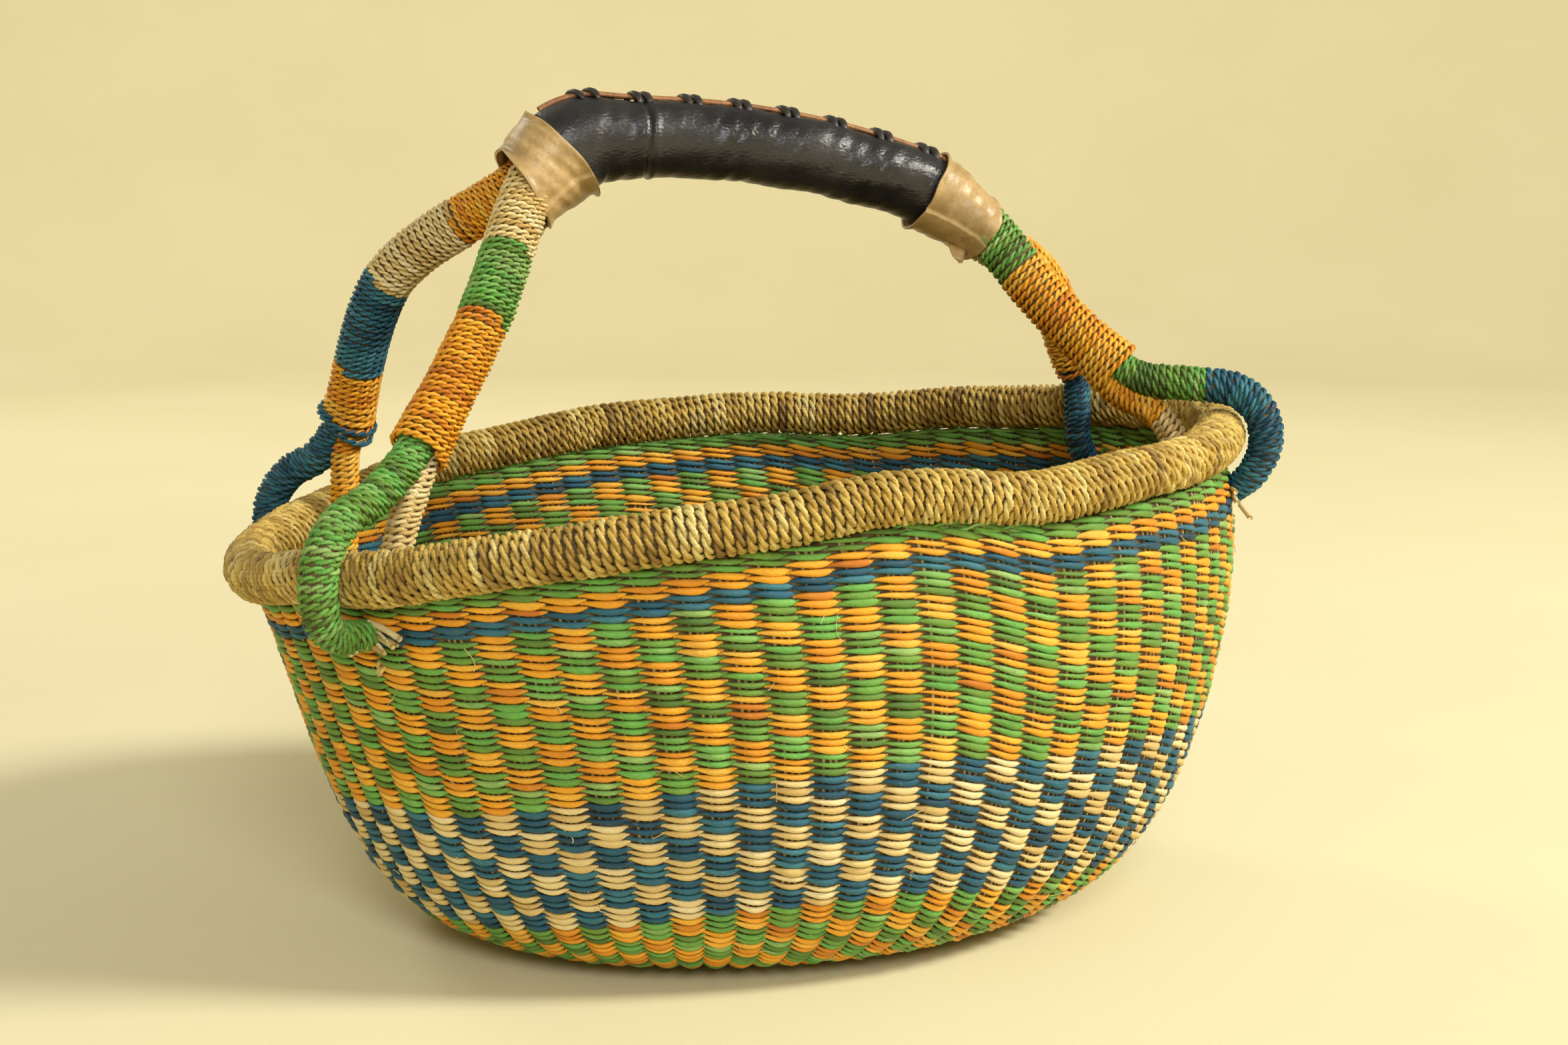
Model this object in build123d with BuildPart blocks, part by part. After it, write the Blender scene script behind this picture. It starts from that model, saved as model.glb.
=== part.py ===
from build123d import *
import os
from math import acos, atan2, cos, degrees, hypot, radians, sin

# Woven market basket with an arched handle. Millimetres, +Z up. The origin is on the floor under the
# middle of the mouth, and +X runs along the handle and the long axis of the mouth.

# ---- Mouth: the rim roll follows an oval, in a plane that climbs towards +X ----
mouth_length = 390.0
mouth_width = 304.0
rim_height = 176.0          # rim centreline above the floor in the middle of the mouth
rim_rise = 22.0             # the +X end of the rim stands this much above the middle
rim_core_radius = 7.0
rim_wrap = 3.0              # thickness of the cord wound round the rim core
oval_fullness = 1.07        # end radius of the oval over that of an ellipse

# ---- Woven wall ----
wall = 5.0
base_length = 150.0         # the flat underside
base_width = 118.0
weave_drop = 8.0            # the weave ends this far under the rim centreline
round_out = 0.5             # power of the wall's sideways run
round_up = 1.66             # power of the wall's climb
belly = 5.4                 # extra half-width at mid-height
lean = 13.0                 # the wall leans this much towards +X at mid-height
base_band_top = 27.0        # where the straw colours change, up the middle of the basket
lower_band_top = 80.0
green_stripe = 9.0
orange_stripe = 5.4
blue_stripe = 5.4

# ---- Grip: an arc, then a bend under the leather and an elbow under the rawhide at each end ----
grip_left = 57.0            # distances of the ends of the arc from the middle
grip_right = 70.0
grip_left_above = 132.5     # their heights above rim_height
grip_right_above = 115.5
grip_bow = 6.0              # rise of the arc over its chord
grip_core_radius = 13.2
leather = 2.4
bend_left_radius = 30.0
bend_left_turn = 26.0
bend_right_radius = 50.0
bend_right_turn = 11.0
elbow_left_radius = 60.0
elbow_left_turn = 19.0
elbow_right_radius = 110.0
elbow_right_turn = 12.0
thong_width = 6.0
thong_height = 2.0
stitch_count = 8
stitch_width = 4.5
stitch_length = 14.0
stitch_height = 1.5
stitch_root = 1.9           # depth of the stitches' flat undersides below the top of the leather
rawhide = 1.8               # how far the rawhide bands stand over the leather
flap_length = 12.0
flap_width = 14.0
flap_thickness = 5.0
flap_place = 0.3            # share of the elbow's length where the flap hangs
corner_share = 1 / 3        # corner radius of the stitches and flaps over their width

# ---- Legs and branches ----
leg_radius = 10.0
leg_wrap = 2.2
leg_gap = 0.4               # space between the two legs where they leave the grip
outer_radius = 7.2
inner_radius = 6.0
branch_wrap = 1.6
touch_gap = 0.4             # space between a branch and the rim roll
bend_ease = 0.8             # bend radius of an outer branch over its distance from the rim's centreline
weave_gap = 0.1             # space between a branch end and the weave
left_front_foot = 34.0      # where the feet meet the rim, in degrees off the X axis
left_rear_foot = 30.0
right_foot = 22.0
left_fork_above = 42.0      # heights of the forks above the rim beside them
front_right_fork_above = 26.0
rear_right_fork_above = 22.0
front_left_inset = 33.0     # how far inside the rim the forks are
rear_left_inset = 20.0
front_right_inset = 42.0
rear_right_inset = 26.0
front_left_bow = -3.0       # outward bow of the legs
rear_left_bow = 20.0
front_right_bow = -2.0
rear_right_bow = 10.0
branch_end_drop = 20.0      # the outer branches meet the wall this far under the rim centreline
inner_end_drop = 36.0       # and the inner branches this far
stub_radius = 2.6
stub_length = 7.0

# ---- Worked out ----
half_length = mouth_length / 2
half_width = mouth_width / 2
rim_radius = rim_core_radius + rim_wrap
grip_radius = grip_core_radius + leather
weave_height = rim_height - weave_drop
orange_top = weave_height - green_stripe
blue_top = orange_top - orange_stripe
upper_band_top = blue_top - blue_stripe
PIECES = []


def keep(shape, name):
    """Label a finished piece and remember it for writing."""
    shape.label = name
    PIECES.append(shape)
    return shape


# ---- Woven wall ----
def wall_size(share, inset=0.0):
    """Half-length, half-width and shift towards +X of the wall at a share of its height."""
    turn = acos((1 - min(share, 1)) ** (1 / round_up))
    out = sin(turn) ** round_out
    swell = sin(2 * turn)
    long_side = base_length / 2 + (half_length - base_length / 2) * out + belly * swell - inset
    short_side = base_width / 2 + (half_width - base_width / 2) * out + belly * swell - inset
    return long_side, short_side, lean * swell


def tilted_plane(shift, height, slope):
    """A plane across the basket that climbs towards +X."""
    x_dir = (cos(slope), 0, sin(slope))
    z_dir = (-sin(slope), 0, cos(slope))
    return Plane(origin=(shift, 0, height), x_dir=x_dir, z_dir=z_dir)


def level_plane(share, height):
    """The plane of one row of the weave: level at the floor, and as steep as the rim at the top."""
    long_side, _, shift = wall_size(share)
    slope = atan2(rim_rise * share, long_side)
    return tilted_plane(shift, height, slope)


def bowl(inset, floor):
    """A solid bowl inside the wall's outline, from a floor height to the top of the weave."""
    with BuildPart() as body:
        for turn in (0, 8, 17, 28, 40, 53, 66, 78, 90):
            share = 1 - cos(radians(turn)) ** round_up
            long_side, short_side, _ = wall_size(share, inset)
            slope = atan2(rim_rise * share, long_side + inset)
            with BuildSketch(level_plane(share, floor + share * (weave_height - floor))):
                Ellipse(long_side / cos(slope), short_side)
        loft()
    return body.part


def wall_point(angle, height, inset=0.0):
    """A point on the wall at an angle round the mouth from +X, at a height up the middle of the basket."""
    share = height / weave_height
    long_side, short_side, shift = wall_size(share, inset)
    turn = radians(angle)
    climb = rim_rise * share * cos(turn)
    return Vector(shift + long_side * cos(turn), short_side * sin(turn), height + climb)


# ---- Rim ----
def rim_line():
    """Closed oval of four tangent arcs in the sloping plane of the mouth."""
    long_side = hypot(half_length, rim_rise)
    end_radius = oval_fullness * half_width**2 / long_side
    side_radius = long_side**2 + half_width**2 - 2 * long_side * end_radius
    side_radius /= 2 * (half_width - end_radius)
    end_centre = long_side - end_radius
    side_centre = side_radius - half_width
    join = degrees(atan2(side_centre, end_centre))
    with BuildLine(tilted_plane(0, rim_height, atan2(rim_rise, half_length))) as line:
        CenterArc((end_centre, 0), end_radius, -join, 2 * join)
        CenterArc((0, -side_centre), side_radius, join, 180 - 2 * join)
        CenterArc((-end_centre, 0), end_radius, 180 - join, 2 * join)
        CenterArc((0, side_centre), side_radius, 180 + join, 180 - 2 * join)
    return line.wire()


def tube(route, radius):
    """A round bar along a route."""
    with BuildPart() as bar:
        with BuildSketch(Plane(origin=route @ 0, z_dir=route % 0)):
            Circle(radius)
        sweep(path=route)
    return bar.part


def sleeve(route, outer, inner):
    """A round sleeve along a route."""
    with BuildPart() as cover:
        with BuildSketch(Plane(origin=route @ 0, z_dir=route % 0)):
            Circle(outer)
            Circle(inner, mode=Mode.SUBTRACT)
        sweep(path=route)
    return cover.part


def cut_by(shape, *others):
    """The shape without the space that its neighbours already fill, and without offcuts beyond them."""
    with BuildPart() as rest:
        add(shape)
        for other in others:
            add(other, mode=Mode.SUBTRACT)
    return rest.part.solids().sort_by(SortBy.VOLUME)[-1]


rim_route = rim_line()
keep(tube(rim_route, rim_core_radius), "rim_core")
keep(sleeve(rim_route, rim_radius, rim_core_radius), "rim_wrap")
rim_roll = tube(rim_route, rim_radius)

with BuildPart() as weave:
    add(bowl(0, 0))
    add(bowl(wall, wall), mode=Mode.SUBTRACT)
    add(rim_roll, mode=Mode.SUBTRACT)
weave_shell = weave.part

with BuildPart() as weave_room:
    add(bowl(-weave_gap, 0))
    add(bowl(wall + weave_gap, wall + weave_gap), mode=Mode.SUBTRACT)
no_branches = weave_room.part


def weave_band(name, low, high):
    """The stretch of the woven wall between two row planes."""
    with BuildPart() as band:
        add(weave_shell)
        if low > 0:
            split(bisect_by=level_plane(low / weave_height, low), keep=Keep.TOP)
        if high < weave_height:
            split(bisect_by=level_plane(high / weave_height, high), keep=Keep.BOTTOM)
    return keep(band.part, name)


weave_band("weave_base", 0, base_band_top)
weave_band("weave_lower", base_band_top, lower_band_top)
weave_band("weave_upper", lower_band_top, upper_band_top)
weave_band("stripe_blue", upper_band_top, blue_top)
weave_band("stripe_orange", blue_top, orange_top)
weave_band("stripe_green", orange_top, weave_height)


# ---- Grip ----
def bend(start, heading, radius, turn):
    """A bend in the XZ plane, on from the end of another line."""
    with BuildLine(Plane.XZ) as line:
        JernArc((start.X, start.Z), (heading.X, heading.Z), radius, turn)
    return line.wire()


def joined(*lines):
    """One wire from lines that meet end to end."""
    with BuildLine() as line:
        for one in lines:
            add(one)
    return line.wire()


with BuildLine(Plane.XZ) as grip_line:
    left_end = (-grip_left, rim_height + grip_left_above)
    right_end = (grip_right, rim_height + grip_right_above)
    SagittaArc(left_end, right_end, grip_bow)
grip_arc = grip_line.wire()
left_bend = bend(grip_arc @ 0, -(grip_arc % 0), bend_left_radius, bend_left_turn)
right_bend = bend(grip_arc @ 1, grip_arc % 1, bend_right_radius, -bend_right_turn)
left_elbow = bend(left_bend @ 1, left_bend % 1, elbow_left_radius, elbow_left_turn)
right_elbow = bend(right_bend @ 1, right_bend % 1, elbow_right_radius, -elbow_right_turn)

leather_route = joined(left_bend, grip_arc, right_bend)
keep(tube(joined(left_elbow, left_bend, grip_arc, right_bend, right_elbow), grip_core_radius), "grip_core")
leather_cover = keep(sleeve(leather_route, grip_radius, grip_core_radius), "grip_leather")


def over_grip(place):
    """A plane lying on top of the leather, its X along the grip."""
    heading = leather_route % place
    up = Vector(-heading.Z, 0, heading.X)
    return Plane(origin=(leather_route @ place) + up * grip_radius, x_dir=heading, z_dir=up)


with BuildPart() as thong:
    start = over_grip(0)
    with BuildSketch(Plane(origin=start.origin, x_dir=start.y_dir, z_dir=start.x_dir)):
        Rectangle(thong_width, 2 * thong_height)
    sweep(path=leather_route)
    add(leather_cover, mode=Mode.SUBTRACT)
keep(thong.part, "grip_thong")

with BuildPart() as stitches:
    for number in range(stitch_count):
        spot = over_grip((number + 0.5) / stitch_count)
        with BuildSketch(spot.offset(-stitch_root)):
            RectangleRounded(stitch_width, stitch_length, corner_share * stitch_width)
        extrude(amount=stitch_root + thong_height + stitch_height)
    add(leather_cover, mode=Mode.SUBTRACT)
    add(thong.part, mode=Mode.SUBTRACT)
keep(stitches.part, "grip_stitches")


def rawhide_band(route, name):
    """A shrunk sleeve over one elbow, with its knotted flap hanging underneath."""
    middle = route @ flap_place
    with BuildPart() as band:
        add(sleeve(route, grip_radius + rawhide, grip_core_radius))
        with BuildSketch(Plane.XY.offset(middle.Z - grip_radius - flap_length)):
            with Locations((middle.X, 0)):
                RectangleRounded(flap_thickness, flap_width, corner_share * flap_thickness)
        extrude(amount=flap_length + grip_radius / 2)
        add(tube(route, grip_core_radius), mode=Mode.SUBTRACT)
        add(leather_cover, mode=Mode.SUBTRACT)
    return keep(band.part, name)


left_band = rawhide_band(left_elbow, "rawhide_band_left")
right_band = rawhide_band(right_elbow, "rawhide_band_right")


# ---- Legs and branches ----
class Foot:
    """One leg's place on the rim: the rim point beside it and the level direction out of the basket there."""

    def __init__(self, angle):
        turn = radians(angle)
        near = Vertex(half_length * cos(turn), half_width * sin(turn), rim_height + rim_rise * cos(turn))
        self.angle = angle
        self.rim = Vector(rim_route.distance_to_with_closest_points(near)[1])
        normal = Vector(cos(turn) / half_length, sin(turn) / half_width, 0)
        self.out = normal.normalized()

    def at(self, outwards, up):
        """A point beside the rim, this far outwards and up from its centreline."""
        return self.rim + self.out * outwards + Vector(0, 0, up)


def leg_line(route, side, fork, bow):
    """Arc from the end of an elbow to the fork, with a short lead inside the elbow."""
    top = (route @ 1) + Vector(0, side * (leg_radius + leg_gap / 2), 0)
    chord = (fork - top).normalized()
    outwards = Vector(-chord.Z, 0, chord.X).normalized() * (1 if chord.X > 0 else -1)
    with BuildLine() as line:
        ThreePointArc(top - chord * leg_radius / 2, (top + fork) / 2 + outwards * bow, fork)
    return line.wire()


def room_behind(end_plane):
    """The space on the grip's side of an elbow's end face, where the legs may not reach."""
    reach = 6 * leg_radius
    with BuildPart() as block:
        with BuildSketch(end_plane):
            Rectangle(2 * reach, 2 * reach)
        extrude(amount=-reach)
    return block.part


def coloured(route, outer, inner, parts, neighbours):
    """The cord wraps along a route: parts is a list of (name, share of the route where it ends)."""
    start = 0.0
    for name, end in parts:
        keep(cut_by(sleeve(route.trim(start, end), outer, inner), *neighbours), name)
        start = end


def outer_line(foot, fork):
    """From the fork over the rim, down outside it and in under it to the wall."""
    reach = rim_radius + outer_radius + touch_gap
    end = wall_point(foot.angle, rim_height - branch_end_drop, wall / 2)
    with BuildLine() as line:
        FilletPolyline(fork, foot.at(reach, reach), foot.at(reach, -reach), end, radius=bend_ease * reach)
    return line.wire()


def inner_line(foot, fork):
    """From the fork down inside the rim to the wall."""
    reach = rim_radius + inner_radius + touch_gap
    end = wall_point(foot.angle, rim_height - inner_end_drop, wall / 2)
    with BuildLine() as line:
        FilletPolyline(fork, foot.at(-reach, 0), end, radius=reach)
    return line.wire()


def leg(corner, side, route, band, place, leg_parts, outer_parts, inner_parts, beside=()):
    """One leg with its two branches: cores, coloured wraps and straw stub. Its place is the angle of its
    foot, the fork's inset and height above the rim, and its bow."""
    angle, inset, fork_above, bow = place
    foot = Foot(angle)
    fork = foot.at(-inset, fork_above)
    down = leg_line(route, side, fork, bow)
    around = [room_behind(Plane(origin=route @ 1, z_dir=route % 1)), band, *beside]
    keep(cut_by(tube(down, leg_radius - leg_wrap), *around), "leg_core_" + corner)
    coloured(down, leg_radius, leg_radius - leg_wrap, leg_parts, around)
    whole_leg = tube(down, leg_radius)

    over = outer_line(foot, fork)
    around = [whole_leg, no_branches]
    keep(cut_by(tube(over, outer_radius - branch_wrap), *around), "outer_core_" + corner)
    coloured(over, outer_radius, outer_radius - branch_wrap, outer_parts, around)
    whole_outer = tube(over, outer_radius)

    into = inner_line(foot, fork)
    around = [whole_leg, whole_outer, no_branches, rim_roll]
    keep(cut_by(tube(into, inner_radius - branch_wrap), *around), "inner_core_" + corner)
    coloured(into, inner_radius, inner_radius - branch_wrap, inner_parts, around)

    off_wall = -(stub_radius + 2 * weave_gap)
    turn_to_end = degrees((stub_length + outer_radius) / half_width)
    end_angle = angle - turn_to_end if cos(radians(angle)) * side > 0 else angle + turn_to_end
    height = rim_height - branch_end_drop
    with BuildLine() as straw:
        Line(wall_point(angle, height, off_wall), wall_point(end_angle, height, off_wall))
    STUBS.append(cut_by(tube(straw.wire(), stub_radius), whole_outer, no_branches))
    return whole_leg


STUBS = []
front_left = leg(
    "front_left", -1, left_elbow, left_band,
    (180 + left_front_foot, front_left_inset, left_fork_above, front_left_bow),
    [
        ("leg_wrap_front_left_natural", 0.22),
        ("leg_wrap_front_left_green", 0.46),
        ("leg_wrap_front_left_orange", 1),
    ],
    [("outer_wrap_front_left_green", 1)],
    [("inner_wrap_front_left_natural", 1)],
)
leg(
    "rear_left", 1, left_elbow, left_band,
    (180 - left_rear_foot, rear_left_inset, left_fork_above, rear_left_bow),
    [
        ("leg_wrap_rear_left_orange", 0.18),
        ("leg_wrap_rear_left_natural", 0.47),
        ("leg_wrap_rear_left_blue", 0.76),
        ("leg_wrap_rear_left_low_orange", 1),
    ],
    [("outer_wrap_rear_left_blue", 1)],
    [("inner_wrap_rear_left_orange", 1)],
    [front_left],
)
front_right = leg(
    "front_right", -1, right_elbow, right_band,
    (-right_foot, front_right_inset, front_right_fork_above, front_right_bow),
    [("leg_wrap_front_right_green", 0.34), ("leg_wrap_front_right_orange", 1)],
    [("outer_wrap_front_right_green", 0.4), ("outer_wrap_front_right_blue", 1)],
    [("inner_wrap_front_right_orange", 0.4), ("inner_wrap_front_right_natural", 1)],
)
leg(
    "rear_right", 1, right_elbow, right_band,
    (right_foot, rear_right_inset, rear_right_fork_above, rear_right_bow),
    [("leg_wrap_rear_right_natural", 0.34), ("leg_wrap_rear_right_orange", 1)],
    [("outer_wrap_rear_right_green", 1)],
    [("inner_wrap_rear_right_blue", 1)],
    [front_right],
)

with BuildPart() as straw_stubs:
    for stub in STUBS:
        add(stub)
keep(straw_stubs.part, "straw_stubs")

os.makedirs("parts", exist_ok=True)
for piece in PIECES:
    export_step(piece, "parts/" + piece.label + ".step")
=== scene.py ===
import math

import bpy
import numpy as np
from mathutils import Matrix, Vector


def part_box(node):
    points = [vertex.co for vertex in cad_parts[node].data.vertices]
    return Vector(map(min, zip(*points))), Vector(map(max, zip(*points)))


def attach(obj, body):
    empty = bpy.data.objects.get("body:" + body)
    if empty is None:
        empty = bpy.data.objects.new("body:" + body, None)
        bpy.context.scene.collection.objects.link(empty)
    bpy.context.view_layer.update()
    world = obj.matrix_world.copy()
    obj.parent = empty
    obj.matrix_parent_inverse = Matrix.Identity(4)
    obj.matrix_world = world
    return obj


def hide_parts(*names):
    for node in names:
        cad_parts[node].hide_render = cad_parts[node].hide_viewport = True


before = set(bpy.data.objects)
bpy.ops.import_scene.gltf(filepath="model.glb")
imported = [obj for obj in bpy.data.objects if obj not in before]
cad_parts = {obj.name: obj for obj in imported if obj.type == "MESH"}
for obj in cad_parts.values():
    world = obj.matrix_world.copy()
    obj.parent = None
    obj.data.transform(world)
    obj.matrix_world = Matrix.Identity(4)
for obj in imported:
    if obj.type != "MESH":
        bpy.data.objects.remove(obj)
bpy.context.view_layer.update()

# Woven market basket: twined straw wall, corded rim, corded forked handle and leather grip.
# Metres, in the CAD frame.
MM = 0.001
TAU = 2 * math.pi
rng = np.random.default_rng(7)

# ---- Sizes read from the frame ----
RIM_RADIUS = 10.0 * MM
rim_low, rim_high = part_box("rim_wrap")
HALF_LENGTH = (rim_high[0] - rim_low[0]) / 2 - RIM_RADIUS
HALF_WIDTH = (rim_high[1] - rim_low[1]) / 2 - RIM_RADIUS
RIM_RISE = (rim_high[2] - rim_low[2]) / 2 - RIM_RADIUS
RIM_HEIGHT = (rim_high[2] + rim_low[2]) / 2

# ---- Shape of the woven wall, as in the CAD model ----
WALL_MIDDLE = 2.4 * MM        # depth of the stakes' line inside the outer face
BASE_LENGTH = 150.0 * MM
BASE_WIDTH = 118.0 * MM
WEAVE_DROP = 8.0 * MM
ROUND_OUT = 0.5
ROUND_UP = 1.66
BELLY = 5.4 * MM
LEAN = 13.0 * MM
BASE_STEPS = 40               # steps of the surface's table over the flat base, and up the wall
WALL_STEPS = 399

# ---- Weave ----
STAKES = 78
CENTRE_STAKES = 38            # fewer stakes reach the middle of the base
CENTRE_SHARE = 0.16           # share of the way from the base centre to the rim where the rest begin
TOP_PITCH = 2.83 * MM
LOWER_PITCH = 3.05 * MM
BASE_PITCH = 3.0 * MM
OUT_SWING = 1.6 * MM          # how far a weaver passes outside or inside the stakes' line
TWIST_SWING = 0.9 * MM        # how far it climbs and falls as it twists round its partner
STRAND_THICK = 0.95 * MM      # half the thickness of a weaver across the wall
SAG = 1.1 * MM                # how far the middle of a stitch hangs, low on the basket
FOOT_LIFT = 1.2 * MM          # raises the base, so that the lowest stitches just touch the floor
STEPS_PER_STAKE = 8
RING_POINTS = 8
MOST_WEAVERS = 20             # in one mesh, to keep it under 200,000 triangles
STAKE_RADIUS = 0.62 * MM
FIBRE_LAY = 10.0 * MM         # length over which the fibres of a straw go once round it


# ======================== curves and surfaces ========================
def unit(v):
    return v / np.maximum(np.linalg.norm(v, axis=-1, keepdims=True), 1e-12)


def rim_wave(theta):
    """Rise and fall of the hand-made rim about the plane of its oval."""
    broad = -5.6 * np.cos(2 * theta) + 2.6 * np.cos(3 * theta)
    broad = broad + 1.2 * np.cos(4 * theta) + 0.8 * np.sin(4 * theta)
    hump = 3.2 * np.exp(-(((theta - math.radians(271)) / math.radians(8)) ** 2))
    dip = -3.4 * np.exp(-(((theta - math.radians(289)) / math.radians(8)) ** 2))
    small = 0.7 * np.sin(9 * theta + 1.0) + 0.5 * np.sin(14 * theta + 2.0)
    return (broad + hump + dip + small) * MM


def equal_theta(count_share):
    """Ellipse angle of each share of the way round the mouth, so that stakes stand equally far apart."""
    fine = np.linspace(0, TAU, 2881)
    x, y = HALF_LENGTH * np.cos(fine), HALF_WIDTH * np.sin(fine)
    way = np.concatenate([[0], np.cumsum(np.hypot(np.diff(x), np.diff(y)))])
    return np.interp(np.mod(count_share, 1.0), way / way[-1], fine)


class Wall:
    """The stakes' line: a surface over the way round the mouth and the way up from the base's centre."""

    ROUND, UP = 720, 300
    REACH = 0.004             # how far above and below the upward direction is measured

    def __init__(self):
        share_round = np.arange(self.ROUND) / self.ROUND
        theta = equal_theta(share_round)[:, None]
        weave_height = RIM_HEIGHT - WEAVE_DROP
        climb = np.linspace(0, math.pi / 2, WALL_STEPS + 1)[1:]
        turn = np.concatenate([np.zeros(BASE_STEPS), climb])[None, :]
        spread = np.concatenate([np.linspace(0.0, 1.0, BASE_STEPS), np.ones(WALL_STEPS)])[None, :]
        out, swell = np.sin(turn) ** ROUND_OUT, np.sin(2 * turn)
        share = 1 - np.cos(turn) ** ROUND_UP
        long_side = (BASE_LENGTH / 2 + (HALF_LENGTH - BASE_LENGTH / 2) * out + BELLY * swell) * spread
        short_side = (BASE_WIDTH / 2 + (HALF_WIDTH - BASE_WIDTH / 2) * out + BELLY * swell) * spread
        uneven = 1 + 0.005 * np.sin(5 * theta + 1) * swell + 0.004 * np.sin(8 * theta + 4 * share) * swell
        top = weave_height + rim_wave(theta) + RIM_RISE * np.cos(theta)
        x = LEAN * swell + long_side * uneven * np.cos(theta)
        y = short_side * uneven * np.sin(theta)
        points = np.stack([x, y, share * top + FOOT_LIFT * (1 - share) ** 6], axis=-1)
        across = np.roll(points, -1, 0) - np.roll(points, 1, 0)
        along = np.gradient(points, axis=1)
        along[:, :BASE_STEPS] = along[:, BASE_STEPS - 2 : BASE_STEPS - 1]
        across[:, :2] = across[:, 2:3]
        normal = unit(np.cross(across, along))
        points = points - normal * WALL_MIDDLE
        step = np.linalg.norm(np.diff(points, axis=1), axis=-1)
        way = np.concatenate([np.zeros((self.ROUND, 1)), np.cumsum(step, 1)], 1)
        self.length = way[:, -1]
        even = np.linspace(0, 1, self.UP)
        self.points = np.zeros((self.ROUND, self.UP, 3))
        self.normals = np.zeros((self.ROUND, self.UP, 3))
        for i in range(self.ROUND):
            at = even * way[i, -1]
            for k in range(3):
                self.points[i, :, k] = np.interp(at, way[i], points[i, :, k])
                self.normals[i, :, k] = np.interp(at, way[i], normal[i, :, k])
        self.normals = unit(self.normals)
        self.front_length = self.length[int(0.75 * self.ROUND)]

    def sample(self, grid, way_round, way_up):
        a = np.mod(way_round, 1.0) * self.ROUND
        b = np.clip(way_up, 0, 1) * (self.UP - 1)
        i, j = np.floor(a).astype(int), np.minimum(np.floor(b).astype(int), self.UP - 2)
        fa, fb = (a - i)[..., None], (b - j)[..., None]
        i, i2 = i % self.ROUND, (i + 1) % self.ROUND
        low = grid[i, j] * (1 - fa) + grid[i2, j] * fa
        high = grid[i, j + 1] * (1 - fa) + grid[i2, j + 1] * fa
        return low * (1 - fb) + high * fb

    def length_at(self, way_round):
        """The way up from the base's centre to the rim."""
        return np.interp(way_round, np.arange(self.ROUND) / self.ROUND, self.length)

    def at(self, way_round, way_up):
        """Point, outward normal and upward direction at shares of the way round and up."""
        way_round, way_up = np.broadcast_arrays(way_round, way_up)
        point = self.sample(self.points, way_round, way_up)
        normal = unit(self.sample(self.normals, way_round, way_up))
        above = np.minimum(way_up + self.REACH, 1.0)
        ahead = self.sample(self.points, way_round, above)
        behind = self.sample(self.points, way_round, np.maximum(above - 2 * self.REACH, 0.0))
        up = unit(ahead - behind)
        return point, normal, unit(up - normal * np.sum(up * normal, -1, keepdims=True))


wall = Wall()


def smooth_line(points, count=400):
    """A smooth curve through a few points, as equally spaced samples."""
    p = np.array(points, float)
    p = np.vstack([2 * p[0] - p[1], p, 2 * p[-1] - p[-2]])
    out = []
    for i in range(1, len(p) - 2):
        gap = [np.sqrt(np.linalg.norm(p[i + k] - p[i + k - 1])) for k in (0, 1, 2)]
        t0, t1 = 0.0, gap[0]
        t2 = t1 + gap[1]
        t3 = t2 + gap[2]
        t = np.linspace(t1, t2, 60, endpoint=False)[:, None]
        a1 = (t1 - t) / (t1 - t0) * p[i - 1] + (t - t0) / (t1 - t0) * p[i]
        a2 = (t2 - t) / (t2 - t1) * p[i] + (t - t1) / (t2 - t1) * p[i + 1]
        a3 = (t3 - t) / (t3 - t2) * p[i + 1] + (t - t2) / (t3 - t2) * p[i + 2]
        b1 = (t2 - t) / (t2 - t0) * a1 + (t - t0) / (t2 - t0) * a2
        b2 = (t3 - t) / (t3 - t1) * a2 + (t - t1) / (t3 - t1) * a3
        out.append((t2 - t) / (t2 - t1) * b1 + (t - t1) / (t2 - t1) * b2)
    line = np.vstack([*out, p[-2][None]])
    way = np.concatenate([[0], np.cumsum(np.linalg.norm(np.diff(line, axis=0), axis=1))])
    even = np.linspace(0, way[-1], count)
    return np.stack([np.interp(even, way, line[:, k]) for k in range(3)], -1)


class Route:
    """A centreline with a frame that doesn't twist, sampled by distance along it."""

    def __init__(self, line, side, closed=False):
        self.line, self.closed = line, closed
        gaps = np.diff(np.vstack([line, line[:1]]) if closed else line, axis=0)
        self.way = np.concatenate([[0], np.cumsum(np.linalg.norm(gaps, axis=1))])
        self.length = self.way[-1]
        if closed:
            heading = unit(np.roll(line, -1, 0) - np.roll(line, 1, 0))
        else:
            heading = unit(np.gradient(line, axis=0))
        first = np.broadcast_to(np.array(side, float), line.shape) if np.ndim(side) == 1 else side
        if closed or np.ndim(side) == 2:
            u = unit(first - heading * np.sum(first * heading, -1, keepdims=True))
        else:
            u = np.zeros_like(line)
            current = np.array(side, float)
            for i in range(len(line)):
                current = current - heading[i] * current.dot(heading[i])
                current = current / np.linalg.norm(current)
                u[i] = current
        self.heading, self.u, self.v = heading, u, np.cross(heading, u)
        if closed:
            self.line, self.heading, self.u, self.v = (
                np.vstack([a, a[:1]]) for a in (line, heading, self.u, self.v)
            )

    def at(self, distance):
        d = np.mod(distance, self.length) if self.closed else np.clip(distance, 0, self.length)
        pick = [
            np.stack([np.interp(d, self.way, a[:, k]) for k in range(3)], -1)
            for a in (self.line, self.heading, self.u, self.v)
        ]
        return pick[0], unit(pick[1]), unit(pick[2]), unit(pick[3])


# ======================== meshes ========================
def ring_quads(index, points, *places):
    """The quads between neighbouring rings, and the corners of their UV squares."""
    *before, ring, next_ring, i = places
    i2 = (i + 1) % points
    corners = ((ring, i), (ring, i2), (next_ring, i2), (next_ring, i))
    return np.stack([index(*before, r, c) for r, c in corners], -1).reshape(-1, 4)


UV_CORNERS = ((0, 0), (0, 1), (1, 1), (1, 0))


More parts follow.
